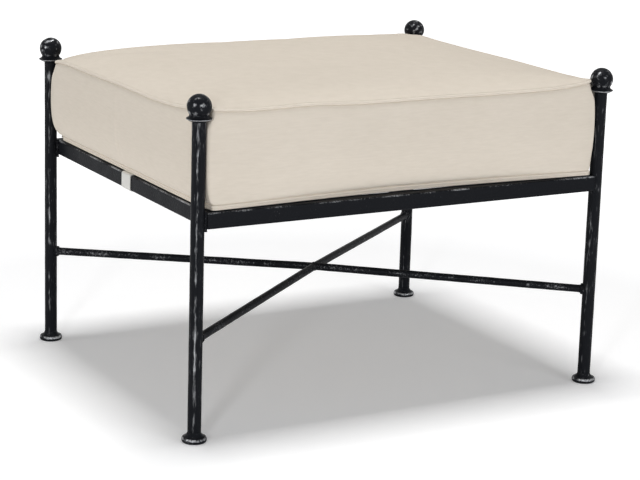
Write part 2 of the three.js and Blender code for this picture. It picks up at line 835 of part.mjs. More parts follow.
function zipPull() {
  const shape = roundedRectangle(zipPullWidth, zipPullLength, zipPullWidth / 2);
  const geometry = new THREE.ExtrudeGeometry(shape, { depth: zipPullThickness, bevelEnabled: false, curveSegments: 3 });
  geometry.rotateX(Math.PI / 2);
  geometry.translate(0, zipPullFace + zipPullThickness, zipHeight + zipPullWidth / 2 - zipPullLength / 2);
  const hole = alongBackPost(zipPostRadius + fitGap, zipPullThickness + 2 * fitGap, zipPullFace - fitGap);
  return geometryOf(solidOf(geometry).subtract(hole));
}

// A strap from the bottom seam over the rail, down its face, under it, up inside and in under the
// cushion, drawn as (distance out from the rail's middle line, height from it).
function strapLoop() {
  const near = railSize / 2 + fitGap;
  const far = near + strapThickness;
  const nearRadius = railCornerRadius + fitGap;
  const farRadius = nearRadius + strapThickness;
  const turn = near - nearRadius;
  const railMiddle = endRailReach - railSize / 2;
  const sewn = planAt(0).halfAcross - strapSewInset - railMiddle;
  const tailTop = railSize / 2;
  const tailUnder = tailTop - strapThickness;
  const bendX = -far - strapBendRadius;
  const bendY = tailUnder - strapBendRadius;
  const tailEnd = bendX - strapTailLength;
  const outline = new THREE.Shape();
  outline.moveTo(sewn, far);
  outline.lineTo(sewn, near);
  outline.absarc(turn, turn, nearRadius, Math.PI / 2, 0, true);
  outline.absarc(turn, -turn, nearRadius, 0, -Math.PI / 2, true);
  outline.absarc(-turn, -turn, nearRadius, -Math.PI / 2, -Math.PI, true);
  outline.absarc(bendX, bendY, strapBendRadius + strapThickness, 0, Math.PI / 2, false);
  outline.lineTo(tailEnd, tailTop);
  outline.lineTo(tailEnd, tailUnder);
  outline.absarc(bendX, bendY, strapBendRadius, Math.PI / 2, 0, true);
  outline.absarc(-turn, -turn, farRadius, -Math.PI, -Math.PI / 2, false);
  outline.absarc(turn, -turn, farRadius, -Math.PI / 2, 0, false);
  outline.absarc(turn, turn, farRadius, 0, Math.PI / 2, false);
  const options = { depth: strapWidth, bevelEnabled: false, curveSegments: 2 };
  const geometry = new THREE.ExtrudeGeometry(outline, options);
  geometry.translate(railMiddle, 0, -strapWidth / 2);
  geometry.rotateX(Math.PI / 2);
  return geometry.translate(0, 0, railBottom + railSize / 2);
}

addPiece('cushion_top_panel', topPanel(), canvas);
addPiece('cushion_bottom_panel', bottomPanel(), canvas);
addPiece('boxing_front', boxingStrip(0), canvas);
addPiece('boxing_right', boxingStrip(1), canvas);
addPiece('boxing_back', slottedBackStrip(), canvas);
addPiece('boxing_left', boxingStrip(3), canvas);
addPiece('welt_top', welt(1), canvas);
addPiece('welt_bottom', welt(0), canvas);
addPiece('foam_core', foamCore(), foam);
addPiece('zip_tape', zipTape(), zipCloth);
addPiece('zip_slider', zipSlider(), zipMetal, zipSliderStart);
addPiece('zip_pull', zipPull(), zipMetal, zipSliderStart);
addPiece('strap_right', strapLoop(), webbing, 0, -strapForward);
addPiece('strap_left', strapLoop(), webbing, 0, -strapForward, Math.PI);

export default footstool;
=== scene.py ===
import math

import bmesh
import bpy
from mathutils import Matrix, Vector, noise
from mathutils.bvhtree import BVHTree


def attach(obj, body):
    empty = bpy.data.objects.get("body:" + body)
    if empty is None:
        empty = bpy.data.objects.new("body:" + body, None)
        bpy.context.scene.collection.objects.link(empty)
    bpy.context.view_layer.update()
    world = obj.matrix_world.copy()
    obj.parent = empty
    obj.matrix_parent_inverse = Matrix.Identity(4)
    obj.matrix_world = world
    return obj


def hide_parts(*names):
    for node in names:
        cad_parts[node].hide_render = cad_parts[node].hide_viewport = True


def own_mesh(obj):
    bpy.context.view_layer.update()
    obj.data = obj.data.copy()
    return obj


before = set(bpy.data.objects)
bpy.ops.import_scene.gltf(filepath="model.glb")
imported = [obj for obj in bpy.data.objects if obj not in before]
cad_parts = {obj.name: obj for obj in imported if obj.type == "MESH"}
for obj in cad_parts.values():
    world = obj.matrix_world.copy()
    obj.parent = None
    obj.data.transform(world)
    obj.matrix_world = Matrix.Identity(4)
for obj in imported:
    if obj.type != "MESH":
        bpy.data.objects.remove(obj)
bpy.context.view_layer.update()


# Camera, floor and studio light
#
# The camera stands a little above the cushion, off the front left corner, as in the photograph.
# The floor is a plain pale sweep, and large soft lamps light it from above and from both sides.

camera = bpy.data.objects.new("camera", bpy.data.cameras.new("camera"))
bpy.context.scene.collection.objects.link(camera)
camera.location = (-1.39744, -2.48642, 0.89379)
camera.rotation_euler = [math.radians(angle) for angle in (76.8822, -1.682, -29.0631)]
camera.data.sensor_width = 36
camera.data.lens = 113.64
camera.data.shift_y = -0.05
bpy.context.scene.camera = camera
bpy.context.scene.view_settings.view_transform = "Standard"


def soft_lamp(name, place, target, size, watts, colour):
    """A rectangular lamp of the given width and height that faces its target."""
    lamp = bpy.data.objects.new(name, bpy.data.lights.new(name, "AREA"))
    bpy.context.scene.collection.objects.link(lamp)
    lamp.data.shape = "RECTANGLE"
    lamp.data.size, lamp.data.size_y = size
    lamp.data.energy = watts
    lamp.data.color = colour
    lamp.location = place
    direction = Vector(target) - Vector(place)
    lamp.rotation_euler = direction.to_track_quat("-Z", "Y").to_euler()


soft_lamp("overhead_lamp", (0.0, 0.05, 4.0), (0.0, 0.0, 0.3), (1.05, 1.0), 94, (1.0, 1.0, 1.0))
soft_lamp("strip_lamp", (-2.25, -2.5, 0.75), (0.0, 0.0, 0.35), (0.3, 1.1), 27, (0.95, 0.97, 1.0))
soft_lamp("front_lamp", (0.9, -3.0, 0.5), (0.0, 0.0, 0.38), (1.3, 0.6), 27, (0.93, 0.955, 1.0))
soft_lamp("left_lamp", (-2.7, 0.5, 0.5), (0.0, 0.0, 0.38), (1.3, 0.6), 14.5, (0.96, 0.975, 1.0))


def node_maker(tree):
    """Empties a node tree and gives a maker of its nodes.

    The maker takes a node's inputs in order or by name, and its settings by name. An input that
    is a node, or an output of one, is linked. Any other input is a plain value.
    """
    tree.nodes.clear()

    def node(kind, *inputs, **named):
        made = tree.nodes.new(kind)
        for setting in [name for name in named if hasattr(made, name)]:
            setattr(made, setting, named.pop(setting))
        pairs = list(zip([socket for socket in made.inputs if socket.enabled], inputs))
        pairs += [(made.inputs[name.replace("_", " ")], value) for name, value in named.items()]
        for socket, value in pairs:
            if isinstance(value, bpy.types.Node):
                value = next(output for output in value.outputs if output.enabled)
            if isinstance(value, bpy.types.NodeSocket):
                tree.links.new(value, socket)
            else:
                socket.default_value = value
        return made

    return node


def plain_nodes(name):
    """A new material with an empty node tree, and the maker of its nodes."""
    material = bpy.data.materials.new(name)
    material.use_nodes = True
    return material, node_maker(material.node_tree)


def seen_directly(node):
    """1 for rays from the camera and for rays that mirror or pass light, otherwise 0."""
    rays = node("ShaderNodeLightPath").outputs
    either = node(
        "ShaderNodeMath", rays["Is Camera Ray"], rays["Is Glossy Ray"], operation="MAXIMUM",
    )
    return node("ShaderNodeMath", either, rays["Is Transmission Ray"], operation="MAXIMUM")


world = bpy.data.worlds.new("studio")
bpy.context.scene.world = world
world.use_nodes = True
sky_node = node_maker(world.node_tree)
sky_level = sky_node("ShaderNodeMapRange", seen_directly(sky_node), To_Min=0.2, To_Max=1.0)
sky_node("ShaderNodeOutputWorld", sky_node("ShaderNodeBackground", (1.0, 1.0, 1.0, 1.0), sky_level))

# The floor glows more with the distance from the stool, so that it ends in white.
floor_finish, floor_node = plain_nodes("pale_floor")
floor_place = floor_node("ShaderNodeTexCoord").outputs["Object"]
floor_distance = floor_node("ShaderNodeVectorMath", floor_place, operation="LENGTH")
floor_level = floor_node(
    "ShaderNodeMapRange", floor_distance, From_Min=0.7, From_Max=1.85, To_Min=0.176, To_Max=0.8,
)
floor_share = floor_node(
    "ShaderNodeMath", seen_directly(floor_node), floor_level, operation="MULTIPLY",
)
floor_glow = floor_node("ShaderNodeEmission", Strength=floor_share)
floor_matt = floor_node("ShaderNodeBsdfDiffuse", (0.95, 0.95, 0.953, 1.0))
floor_sum = floor_node("ShaderNodeAddShader", floor_matt, floor_glow)
floor_node("ShaderNodeOutputMaterial", floor_sum)

floor_mesh = bmesh.new()
bmesh.ops.create_grid(floor_mesh, x_segments=4, y_segments=4, size=9.0)
floor_data = bpy.data.meshes.new("floor")
floor_mesh.to_mesh(floor_data)
floor_mesh.free()
floor_data.materials.append(floor_finish)
floor = bpy.data.objects.new("floor", floor_data)
bpy.context.scene.collection.objects.link(floor)


# Legs
#
# Four round steel tubes, brushed black with the silver steel left to show in streaks. The
# first streak of each leg, which faces the strip lamp, is a painted highlight; the others are
# rubbed wear. They are drawn by hand, so the wall is a little uneven. The feet and the collars
# plug their ends.

leg_across = 0.311
leg_deep = 0.249
corners = {
    "front_left": (-leg_across, -leg_deep),
    "front_right": (leg_across, -leg_deep),
    "back_left": (-leg_across, leg_deep),
    "back_right": (leg_across, leg_deep),
}
leg_radius = 0.009
leg_wall = 0.002
leg_bottom = 0.0133
leg_top = 0.4214
round_steps = 56


def rubbed_black(name, streak=(1.0, 1.0, 0.16)):
    """Black brushed over steel: silver shows where the point attribute and the grain allow.

    The attribute holds rubbed wear, and on the legs and stretchers painted highlights as well.
    """
    material, node = plain_nodes(name)
    place = node("ShaderNodeTexCoord").outputs["Object"]
    stretched = node("ShaderNodeMapping", place, Scale=streak)
    grain = node("ShaderNodeTexNoise", stretched, Scale=400.0, Detail=5.0, Roughness=0.62)
    patches = node("ShaderNodeTexNoise", place, Scale=38.0, Detail=2.0)
    rub_and_highlight = node("ShaderNodeAttribute", attribute_name="rub_and_highlight").outputs["Fac"]
    patchy_grain = node("ShaderNodeMath", patches, 0.5, grain, operation="MULTIPLY_ADD")
    level = node("ShaderNodeMath", rub_and_highlight, 0.6, patchy_grain, operation="MULTIPLY_ADD")
    # Silver mask: rubbed wear, and on the legs and stretchers a painted highlight as well.
    wear_and_highlight = node("ShaderNodeMapRange", level, 0.96, 1.4, interpolation_type="SMOOTHSTEP")
    black = (0.0088, 0.0095, 0.0115, 1.0)
    silver = (0.33, 0.335, 0.345, 1.0)
    tone = node("ShaderNodeMix", wear_and_highlight, black, silver, data_type="RGBA")
    gloss = node("ShaderNodeMapRange", patches, To_Min=0.28, To_Max=0.5)
    dents = node("ShaderNodeTexNoise", place, Scale=420.0, Detail=3.0)
    bump = node("ShaderNodeBump", Height=dents, Strength=0.55, Distance=0.0008)
    shader = node(
        "ShaderNodeBsdfPrincipled", Base_Color=tone, Metallic=wear_and_highlight, Roughness=gloss,
        Specular_IOR_Level=0.032, Normal=bump,
    )
    node("ShaderNodeOutputMaterial", shader)
    return material


upright_black = rubbed_black("upright_black")
black_metal = rubbed_black("black_metal", (1.0, 1.0, 1.0))


def turned(outline, steps, closed=False):
    """Spins an outline of (radius, height) points round the upright axis."""
    mesh = bmesh.new()
    points = [mesh.verts.new((radius, 0.0, height)) for radius, height in outline]
    pairs = list(zip(points, points[1:]))
    if closed:
        pairs.append((points[-1], points[0]))
    edges = [mesh.edges.new(pair) for pair in pairs]
    bmesh.ops.spin(
        mesh, geom=points + edges, cent=(0.0, 0.0, 0.0), axis=(0.0, 0.0, 1.0), angle=2 * math.pi,
        steps=steps, use_merge=True,
    )
    bmesh.ops.remove_doubles(mesh, verts=mesh.verts, dist=1e-6)
    bmesh.ops.recalc_face_normals(mesh, faces=mesh.faces)
    return mesh


def between(start, end, steps):
    """Evenly spaced values from start to end, both included."""
    return [start + (end - start) * i / steps for i in range(steps + 1)]


def bell(distance, width):
    """1 at no distance, falling smoothly to nearly nothing at twice the width."""
    return math.exp(-((distance / width) ** 2))


def set_rub_and_highlight(mesh, rule):
    """Writes the attribute of rubbed wear and painted highlight from a rule on each point's place.
    """
    layer = mesh.verts.layers.float.get("rub_and_highlight") or mesh.verts.layers.float.new("rub_and_highlight")
    for point in mesh.verts:
        point[layer] = rule(point.co)


def set_piece(mesh, name, finish, body, nodes):
    """Makes a finished bmesh the piece that stands for the given nodes."""
    sharp = math.radians(38)
    for edge in mesh.edges:
        edge.smooth = edge.calc_face_angle(0.0) < sharp
    data = bpy.data.meshes.new(name)
    mesh.to_mesh(data)
    mesh.free()
    data.materials.append(finish)
    for face in data.polygons:
        face.use_smooth = True
    piece = bpy.data.objects.new(name, data)
    bpy.context.scene.collection.objects.link(piece)
    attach(piece, body)
    if nodes:
        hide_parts(*nodes)
    return piece


# Without a seed, noise_vector starts from the clock and gives other bumps and folds in each run.
noise_seed = 1795881939
noise.seed_set(noise_seed)


def uneven(mesh, amount, scale, seed):
    """Moves each point by a little smooth noise, as hammer and hand leave a surface."""
    shift = Vector((seed, 0.37 * seed, 1.7 * seed))
    for point in mesh.verts:
        point.co += noise.noise_vector(point.co * scale + shift) * amount


def streaks_and_highlight(place, streaks, seed):
    """Silver in upright streaks round a leg: a broken bright line in a soft grey band each.

    The first streak, which faces the strip lamp, is a painted highlight; the others are rubbed
    wear.
    """
    around = math.atan2(place.y, place.x)
    most = 0.2
    for turn, strength in streaks:
        away = math.remainder(around - turn, 2 * math.pi)
        wander = 0.05 * noise.noise(Vector((turn, seed, place.z * 9.0)))
        broken = 0.74 + 0.5 * noise.noise(Vector((place.z * 42.0, turn, seed)))
        line = broken * bell(away + wander, 0.13)
        band = 0.56 * bell(away + 0.3 * wander, 0.4)
        most = max(most, strength * line, strength * band)
    return most


# The bearing and strength of each leg's streaks, in the order of the corners. The first streak
# # of each leg faces the strip lamp and is a painted highlight of it; the rest are rubbed wear.
leg_streaks_and_highlights = (
    ((-2.12, 0.84), (-0.7, 0.55), (1.0, 0.7), (2.6, 0.6)),
    ((-2.62, 0.6), (-1.3, 0.45), (0.6, 0.6), (1.9, 0.5)),
    ((-2.25, 0.6), (-0.9, 0.45), (0.8, 0.6), (2.3, 0.6)),
    ((-2.35, 0.55), (-1.0, 0.5), (0.9, 0.6), (2.7, 0.5)),
)

leg_outline = [(leg_radius, height) for height in between(leg_bottom, leg_top, 110)]
leg_outline += [(leg_radius - leg_wall, leg_top), (leg_radius - leg_wall, leg_bottom)]
for seed, (corner, (x, y)) in enumerate(corners.items()):
    leg = turned(leg_outline, round_steps, closed=True)
    set_rub_and_highlight(leg, lambda place: streaks_and_highlight(place, leg_streaks_and_highlights[seed], seed))
    bmesh.ops.translate(leg, verts=leg.verts, vec=(x, y, 0.0))
    uneven(leg, 0.00016, 55.0, seed)
    set_piece(leg, f"{corner}_leg", upright_black, "frame", [f"leg_{corner}"])


# Feet
#
# Forged discs with a soft round edge that sweep up to the leg's width, each with a plug that fits
# the tube. The brush skips their upper edge, so it is the brightest part.

foot_radius = 0.0166
foot_height = 0.013
foot_disc = 0.007
sole_radius = 0.0142
plug_radius = 0.0067
plug_top = 0.033
plug_chamfer = 0.001


def swept(start, control, end, steps):
    """Points of a smooth bend from start to end that leans towards control, without its start."""
    points = []
    for share in between(0.0, 1.0, steps)[1:]:
        near = (1 - share) ** 2
        middle = 2 * share * (1 - share)
        far = share ** 2
        x = near * start[0] + middle * control[0] + far * end[0]
        z = near * start[1] + middle * control[1] + far * end[1]
        points.append((x, z))
    return points


def foot_rub(place):
    """Silver round the upper half of the disc's edge."""
    if 0.004 < place.z < foot_disc:
        return 0.7 + 0.6 * noise.noise(place * 150.0)
    return 0.25


foot_widest = (foot_radius, foot_disc * 0.48)
foot_shoulder = (foot_radius - 0.002, foot_disc)
foot_outline = [(0.0, 0.0), (sole_radius, 0.0)]
foot_outline += swept(foot_outline[-1], (foot_radius, 0.0), foot_widest, 6)
foot_outline += swept(foot_widest, (foot_radius, foot_disc), foot_shoulder, 6)
foot_outline += swept(foot_shoulder, (0.0104, 0.0082), (leg_radius, foot_height), 8)
foot_outline += [
    (plug_radius, foot_height), (plug_radius, plug_top - plug_chamfer),
    (plug_radius - plug_chamfer, plug_top), (0.0, plug_top),
]
for corner, (x, y) in corners.items():
    foot = turned(foot_outline, round_steps)
    set_rub_and_highlight(foot, foot_rub)
    bmesh.ops.translate(foot, verts=foot.verts, vec=(x, y, 0.0))
    for point in foot.verts:
        if point.co.z > 0.0005:
            point.co += noise.noise_vector(point.co * 120.0) * 0.00022
    set_piece(foot, f"{corner}_foot", black_metal, "frame", [f"foot_{corner}"])


# Collars
#
# Turned dishes that cap the legs and seat the balls: a thin flange with a hollow upper side, a lip
# shaped to the ball, and a plug down the tube. Silver shows along the edge of the flange.

ball_radius = 0.016
ball_height = 0.441
collar_foot = 0.4067
collar_under = 0.4217
collar_lip = 0.0125
throat_radius = 0.0033
flange_radius = 0.0162
flange_height = collar_under + 0.004
flange_half = 0.0009

seat_radius = ball_radius + 0.0003
lip_height = ball_height - math.sqrt(seat_radius ** 2 - collar_lip ** 2)
flange_under = (flange_radius, flange_height - flange_half)
flange_over = (flange_radius, flange_height + flange_half)
collar_outline = [
    (throat_radius, collar_foot), (plug_radius, collar_foot), (plug_radius, collar_under),
    (leg_radius, collar_under),
]
collar_outline += swept(collar_outline[-1], (0.0116, 0.4221), flange_under, 7)
collar_outline += swept(flange_under, (0.0174, flange_height), flange_over, 6)
collar_outline += swept(flange_over, (0.0132, 0.4271), (collar_lip, lip_height), 8)
for radius in between(collar_lip, throat_radius, 8)[1:]:
    collar_outline.append((radius, ball_height - math.sqrt(seat_radius ** 2 - radius ** 2)))
for seed, (corner, (x, y)) in enumerate(corners.items()):
    collar = turned(collar_outline, round_steps, closed=True)
    set_rub_and_highlight(collar, lambda place: 0.9 if 0.4243 < place.z < 0.4258 else 0.15)
    bmesh.ops.translate(collar, verts=collar.verts, vec=(x, y, 0.0))
    uneven(collar, 0.00016, 90.0, seed)
    nodes = [f"collar_{corner}"]
    set_piece(collar, f"{corner}_collar", black_metal, "frame", nodes)


# Ball finials
#
# Hand-forged iron balls on a short stud that drops into the collar. Hammering leaves them with
# soft flats, and most of the silver shows on these.

stud_radius = 0.003
stud_foot = 0.4123
stud_chamfer = 0.0004
stud_angle = -math.acos(stud_radius / ball_radius)
ball_seated = 0.4285

ball_outline = [
    (0.0, stud_foot), (stud_radius - stud_chamfer, stud_foot),
    (stud_radius, stud_foot + stud_chamfer),
]
for angle in between(stud_angle, math.pi / 2, 40)[:-1]:
    height = ball_height + ball_radius * math.sin(angle)
    ball_outline.append((ball_radius * math.cos(angle), height))
ball_outline.append((0.0, ball_height + ball_radius))
for seed, (corner, (x, y)) in enumerate(corners.items()):
    ball = turned(ball_outline, 64)
    shift = Vector((0.0, seed * 5.0, 0.0))
    set_rub_and_highlight(ball, lambda place: 0.25 + 0.85 * noise.noise(place * 190.0 + shift))
    bmesh.ops.translate(ball, verts=ball.verts, vec=(x, y, 0.0))
    for point in ball.verts:
        if point.co.z > ball_seated:
            out = (point.co - Vector((x, y, ball_height))).normalized()
            dent = noise.noise(point.co * 105.0 + Vector((seed, 0.0, 0.0)))
            point.co += out * (-0.00055 * max(dent, 0.0))
    set_piece(ball, f"{corner}_ball", black_metal, "frame", [f"ball_{corner}"])


# Seat ring
#
# Four lengths of square tube, mitred and welded into a ring that stands between the legs. The two
# end rails are welded to the legs, and rubbed edges show along their upper outer corners.

rail_size = 0.022
rail_bottom = 0.2835
rail_top = 0.3055
rail_wall = 0.002
rail_edge = 0.0026
mitre_gap = 0.00021
front_reach = 0.2593
end_reach = 0.3017
bead_radius = 0.0021
bead_offset = 0.0068
bead_ripple = 1.9


def extruded(mesh, edges):
    """Extrudes edges where they are, and gives the new points and the new edges."""
    made = bmesh.ops.extrude_edge_only(mesh, edges=edges)["geom"]
    points = [item for item in made if isinstance(item, bmesh.types.BMVert)]
    fresh = set(points)
    made_edges = [item for item in made if isinstance(item, bmesh.types.BMEdge)]
    return points, [edge for edge in made_edges if fresh.issuperset(edge.verts)]


def long_edges(mesh, axis, least):
    """The edges that run further than least along an axis."""
    return [
        edge for edge in mesh.edges
        if abs(edge.verts[0].co[axis] - edge.verts[1].co[axis]) > least
    ]


def rounded(mesh, edges, size, segments):
    """Rounds edges over, and gives what the bevel made."""
    return bmesh.ops.bevel(
        mesh, geom=edges, offset=size, offset_type="OFFSET", affect="EDGES", segments=segments,
        profile=0.5, material=-1,
    )


def mitred_rail(reach, half_length):
    """A square tube along x with its outer face at -reach, and both ends cut at 45 degrees."""
    mesh = bmesh.new()
    section = []
    for y, z in ((0.0, 0.0), (rail_size, 0.0), (rail_size, rail_size), (0.0, rail_size)):
        section.append(mesh.verts.new((-half_length, y - reach, z + rail_bottom)))
    edges = [mesh.edges.new((section[i], section[(i + 1) % 4])) for i in range(4)]
    moved = extruded(mesh, edges)[0]
    bmesh.ops.translate(mesh, verts=moved, vec=(2 * half_length, 0.0, 0.0))
    rounded(mesh, long_edges(mesh, 0, half_length), rail_edge, 4)
    band = rail_edge + 0.001
    for place, normal in (
        ((0.0, 0.0, rail_top - band), (0, 0, 1)),
        ((0.0, 0.0, rail_bottom + band), (0, 0, 1)),
        ((0.0, band - reach, 0.0), (0, 1, 0)),
        ((0.0, rail_size - band - reach, 0.0), (0, 1, 0)),
    ):
        whole = mesh.verts[:] + mesh.edges[:] + mesh.faces[:]
        bmesh.ops.bisect_plane(mesh, geom=whole, plane_co=place, plane_no=normal)
    lengths = long_edges(mesh, 0, half_length)
    bmesh.ops.subdivide_edges(mesh, edges=lengths, cuts=70, use_grid_fill=True)
    bmesh.ops.recalc_face_normals(mesh, faces=mesh.faces)
    bmesh.ops.solidify(mesh, geom=mesh.faces[:], thickness=rail_wall)
    for point in mesh.verts:
        inward = point.co.y + reach
        point.co.x *= (half_length - inward - mitre_gap) / half_length
    return mesh


def edge_rub(place, reach):
    """Most rub on the upper outer edge of a rail along x, less on the lower one."""
    edge = 0.0018
    if place.y + reach < edge and place.z > rail_top - edge:
        return 0.56 + 0.75 * noise.noise(Vector((place.x * 24.0, reach * 90.0, 0.0)))
    if place.y + reach < edge and place.z < rail_bottom + edge:
        return 0.2
    return 0.05


def weld_bead(path, radius, ripple, closed=False):
    """A rippled bead of weld along a path of points."""
    mesh = bmesh.new()
    edges = None
    for i, place in enumerate(path):
        before = path[i - 1] if i or closed else path[0]
        after = path[(i + 1) % len(path)] if i + 1 < len(path) or closed else path[-1]
        turn = (after - before).to_track_quat("Z", "X").to_matrix().to_4x4()
        swell = radius * (1 + 0.16 * math.sin(i * ripple) + 0.12 * noise.noise(place * 260.0))
        matrix = Matrix.Translation(place) @ turn @ Matrix.Scale(swell, 4)
        if edges is None:
            bmesh.ops.create_circle(mesh, segments=10, radius=1.0, matrix=matrix)
            edges = first_edges = mesh.edges[:]
        else:
            points, edges = extruded(mesh, edges)
            bmesh.ops.transform(mesh, matrix=matrix @ last.inverted(), verts=points)
        last = matrix
    if closed:
        bmesh.ops.bridge_loops(mesh, edges=edges + first_edges)
    else:
        bmesh.ops.holes_fill(mesh, edges=edges + first_edges, sides=10)
    bmesh.ops.recalc_face_normals(mesh, faces=mesh.faces)
    return mesh


def rail_beads(reach):
    """The four upright beads that weld an end rail to its two legs."""
    beads = []
    for leg_place in (-leg_deep, leg_deep):
        for side in (-1, 1):
            y = leg_place + side * bead_offset
            heights = between(rail_bottom - 0.003, rail_top + 0.0015, 26)
            path = [Vector((y, -reach - 0.0012, height)) for height in heights]
            beads.append(weld_bead(path, bead_radius, bead_ripple))
            set_rub_and_highlight(beads[-1], lambda place: 0.2)
    return beads


def joined(meshes):
    """One bmesh that holds the shells of several."""
    whole = bmesh.new()
    for mesh in meshes:
        data = bpy.data.meshes.new("part")
        mesh.to_mesh(data)
        mesh.free()
        whole.from_mesh(data)
        bpy.data.meshes.remove(data)
    return whole


# How many quarter turns each rail takes from the front, its reach and half its length.
ring = {
    "front_rail": (0, front_reach, end_reach, "seat_rail_front"),
    "right_rail": (1, end_reach, front_reach, "seat_rail_right"),
    "back_rail": (2, front_reach, end_reach, "seat_rail_back"),
    "left_rail": (3, end_reach, front_reach, "seat_rail_left"),
}
for name, (quarter, reach, half_length, node) in ring.items():
    rail = mitred_rail(reach, half_length)
    set_rub_and_highlight(rail, lambda place: edge_rub(place, reach))
    if quarter % 2:
        rail = joined([rail] + rail_beads(reach))
    turn = Matrix.Rotation(quarter * math.pi / 2, 3, "Z")
    bmesh.ops.rotate(rail, verts=rail.verts, cent=(0, 0, 0), matrix=turn)
    set_piece(rail, name, black_metal, "frame", [node])


# Slats
#
# Flat bars under the cushion, from the front rail to the back rail, flush with the top of the
# ring.

slat_width = 0.03
slat_thickness = 0.004
slat_half_length = 0.237
slat_places = (-0.2, -0.1, 0.0, 0.1, 0.2)

for number, x in enumerate(slat_places, start=1):
    slat = bmesh.new()
    bmesh.ops.create_cube(slat, size=1.0)
    size = (slat_width, 2 * slat_half_length, slat_thickness)
    bmesh.ops.scale(slat, verts=slat.verts, vec=size)
    bmesh.ops.translate(slat, verts=slat.verts, vec=(x, 0.0, rail_top - slat_thickness / 2))
    rounded(slat, long_edges(slat, 1, slat_half_length), 0.0009, 3)
    set_rub_and_highlight(slat, lambda place: 0.1)
    nodes = [f"seat_slat_{number}"]
    set_piece(slat, f"slat_{number}", black_metal, "frame", nodes)


# Stretchers
#
# Round bars that cross low between the legs and rise a little to the middle. One runs whole from
# the front left leg to the back right one. The other is two halves welded to it, with a bead where
# the bars meet and round each end.

bar_radius = 0.0055
bar_height = 0.137
bar_start = 0.0068
crossing = Vector((0.0, 0.0, 0.142))
flare = 0.0022
flare_length = 0.009
weld_ripple = 1.6
end_weld_radius = 0.0019
end_weld_place = 0.0102
crossing_weld_radius = 0.0011


def leg_axis(corner):
    x, y = corners[corner]
    return Vector((x, y, bar_height))


def straight_bar(start, end):
    """A round bar from start to end that thickens by a weld's spread at its start."""
    length = (end - start).length
    outline = [(0.0, 0.0)]
    for height in between(0.0, length, 90):
        spread = flare * max(0.0, 1 - height / flare_length) ** 2
        outline.append((bar_radius + spread, height))
    outline.append((0.0, length))
    mesh = turned(outline, 28)
    turn = (end - start).to_track_quat("Z", "X").to_matrix().to_4x4()
    bmesh.ops.transform(mesh, matrix=Matrix.Translation(start) @ turn, verts=mesh.verts)
    return mesh


def end_bead(axis, direction):
    """A ring of weld round a bar, where it leaves its leg."""
    turn = direction.to_track_quat("Z", "X").to_matrix()
    ring_radius = bar_radius + end_weld_radius * 0.3
    path = []
    for angle in between(0.0, 2 * math.pi, 32)[:-1]:
        spoke = turn @ Vector((math.cos(angle), math.sin(angle), 0.0))
        path.append(axis + direction * end_weld_place + spoke * ring_radius)
    return weld_bead(path, end_weld_radius, weld_ripple, closed=True)


def crossing_bead(corner):
    """Weld along the line where a half bar meets the long bar at the crossing."""
    direction = (leg_axis(corner) - crossing).normalized()
    side = Vector((0.0, 0.0, 1.0)).cross(direction).normalized()
    up = direction.cross(side)
    away = up.cross(leg_axis("front_left") - leg_axis("back_right")).normalized()
    away *= math.copysign(1.0, away.dot(direction))
    path = []
    for angle in between(0.0, 2 * math.pi, 40)[:-1]:
        across = bar_radius * math.sin(angle)
        rise = bar_radius * math.cos(angle)
        reach = (abs(across) - across * side.dot(away)) / direction.dot(away)
        path.append(crossing + direction * reach + side * across + up * rise)
    return weld_bead(path, crossing_weld_radius, weld_ripple, closed=True)


def bar_rub_and_highlight(place, line):
    """Silver at the welds, which is rubbed wear, and a painted highlight: a soft line of the given
    strength along the bar's sides, where the strip lamp's reflection falls.
    """
    nearest = min((place - leg_axis(corner)).length for corner in corners)
    if nearest < 0.019 or (place - crossing).length < 0.0125:
        return 0.3
    # A painted highlight line a little above the bar's middle, on both of its sides.
    share = place.xy.length / math.hypot(leg_across, leg_deep)
    lift = place.z - crossing.z + (crossing.z - bar_height) * share
    uneven_line = line * (0.8 + 0.6 * noise.noise(place * 36.0))
    return 0.2 + uneven_line * bell(lift - 0.0012, 0.0019)


def stretcher_half(corner):
    """The bar from a leg to the crossing, and its weld to the leg."""
    axis = leg_axis(corner)
    direction = (crossing - axis).normalized()
    return [straight_bar(axis + direction * bar_start, crossing), end_bead(axis, direction)]


long_bar = joined(stretcher_half("front_left") + stretcher_half("back_right"))
uneven(long_bar, 0.00018, 60.0, 3.0)
set_rub_and_highlight(long_bar, lambda place: bar_rub_and_highlight(place, 0.06))
set_piece(long_bar, "long_stretcher", black_metal, "frame", ["stretcher_long"])

for corner, name, node in (
    ("front_right", "front_half_stretcher", "stretcher_half_front"),
    ("back_left", "back_half_stretcher", "stretcher_half_back"),
):
    half = joined(stretcher_half(corner) + [crossing_bead(corner)])
    uneven(half, 0.00018, 60.0, 5.0)
    set_rub_and_highlight(half, lambda place: bar_rub_and_highlight(place, 0.22))
    set_piece(half, name, black_metal, "frame", [node])


# Cushion cover
#
# A loose box cushion in natural outdoor canvas: crowned top and flat base, with straight boxing
# between two seams that tucks in over the end rails. Notches clear the legs, and the cover is full
# of foam, so it bellies a little between its seams.

cushion_base = 0.3058
bottom_seam = 0.3115
top_seam = 0.431
crown_rise = 0.013
groove = 0.0025
puff = 0.003
leg_clearance = 0.0108

# How much higher or lower the top seam is at the start and the end of the front, right, back and
# left sides, because each corner is pushed down past its ball by hand.
corner_lifts = ((0.0045, 0.0088), (0.005, 0.003), (0.0032, -0.009), (-0.0075, 0.0055))

# The front of the top seam lies a little higher than the rest, and most where the filling is
# fullest.
front_lift = 0.0022
full_lift = 0.003
full_place = -0.165
full_reach = 0.055

# How far from each leg's axis the boxing runs round it, from the front left corner
# counterclockwise. Below the collar it lies close to the leg, and at the top seam it stands off by
# seam_notch.
leg_notches = (0.0102, 0.0125, 0.0122, 0.0122)
seam_notch = 0.0186

